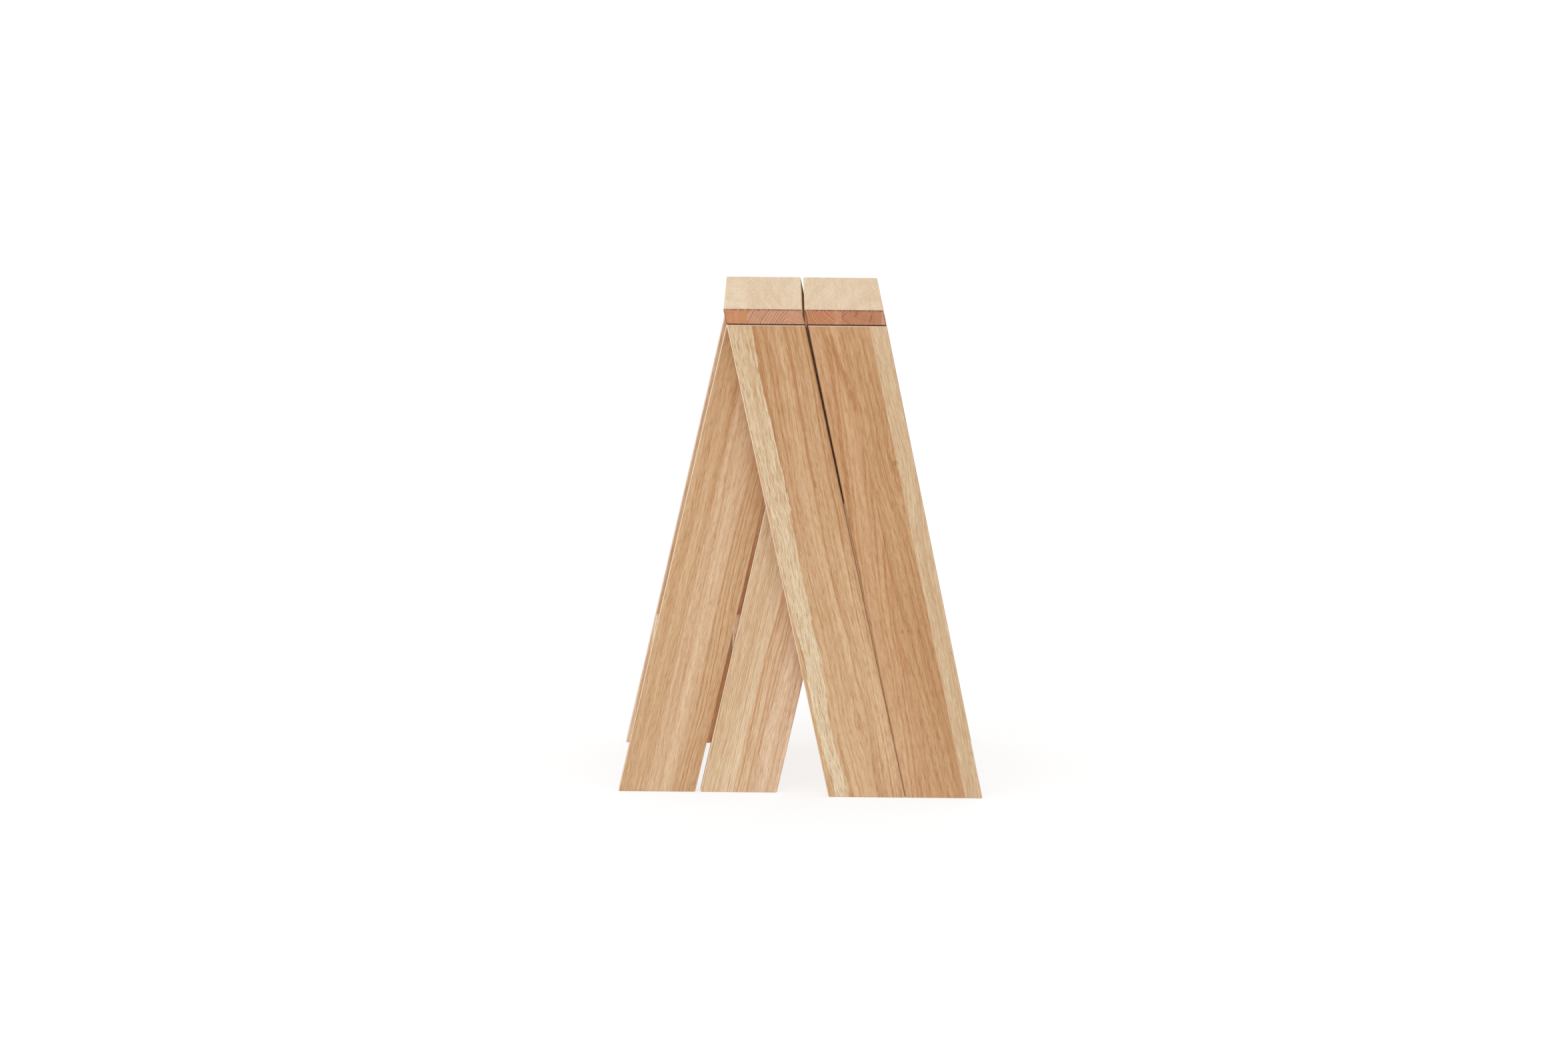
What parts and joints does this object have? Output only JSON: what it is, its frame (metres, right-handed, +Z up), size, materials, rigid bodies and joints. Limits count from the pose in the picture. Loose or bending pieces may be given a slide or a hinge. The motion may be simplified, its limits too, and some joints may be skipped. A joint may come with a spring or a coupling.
{
  "type": "trestle pair",
  "caption": "Solid wood A-frame trestles nested side by side, each with a flat top beam, crossing board legs in two layers and one low rail.",
  "frame": {"origin": "on the floor, in the middle of the nested pair", "axes": "+X across the beams, the way the right trestle slides out; +Y along the beams, from the near end to the far end; +Z up"},
  "size_m": [0.557, 0.4, 0.75],
  "materials": {
    "beam_oak": "satin oiled oak, edge-glued staves, medullary flecks and fine pores",
    "leg_oak": "satin oiled oak, edge-glued staves running down the leg",
    "rail_oak": "satin oiled oak, staves running along the rail",
    "dowel_beech": "plain turned beech dowel, hidden in its bore"
  },
  "bodies": {
    "left_trestle": {"left_beam": "beam_oak", "left_rail": "rail_oak", "left_near_outer_leg": "leg_oak", "left_near_outer_leg_dowels": "dowel_beech", "left_near_inner_leg": "leg_oak", "left_near_inner_leg_dowels": "dowel_beech", "left_near_lap_dowels": "dowel_beech", "left_near_rail_dowels": "dowel_beech", "left_far_outer_leg": "leg_oak", "left_far_outer_leg_dowels": "dowel_beech", "left_far_inner_leg": "leg_oak", "left_far_inner_leg_dowels": "dowel_beech", "left_far_lap_dowels": "dowel_beech", "left_far_rail_dowels": "dowel_beech"},
    "right_trestle": {"right_beam": "beam_oak", "right_rail": "rail_oak", "right_near_outer_leg": "leg_oak", "right_near_outer_leg_dowels": "dowel_beech", "right_near_inner_leg": "leg_oak", "right_near_inner_leg_dowels": "dowel_beech", "right_near_lap_dowels": "dowel_beech", "right_near_rail_dowels": "dowel_beech", "right_far_outer_leg": "leg_oak", "right_far_outer_leg_dowels": "dowel_beech", "right_far_inner_leg": "leg_oak", "right_far_inner_leg_dowels": "dowel_beech", "right_far_lap_dowels": "dowel_beech", "right_far_rail_dowels": "dowel_beech"}
  },
  "joints": [
    {"name": "nest_slide", "type": "slide", "parent": "left_trestle", "child": "right_trestle", "axis": [1, 0, 0], "range_m": [0, 0.4]}
  ]
}
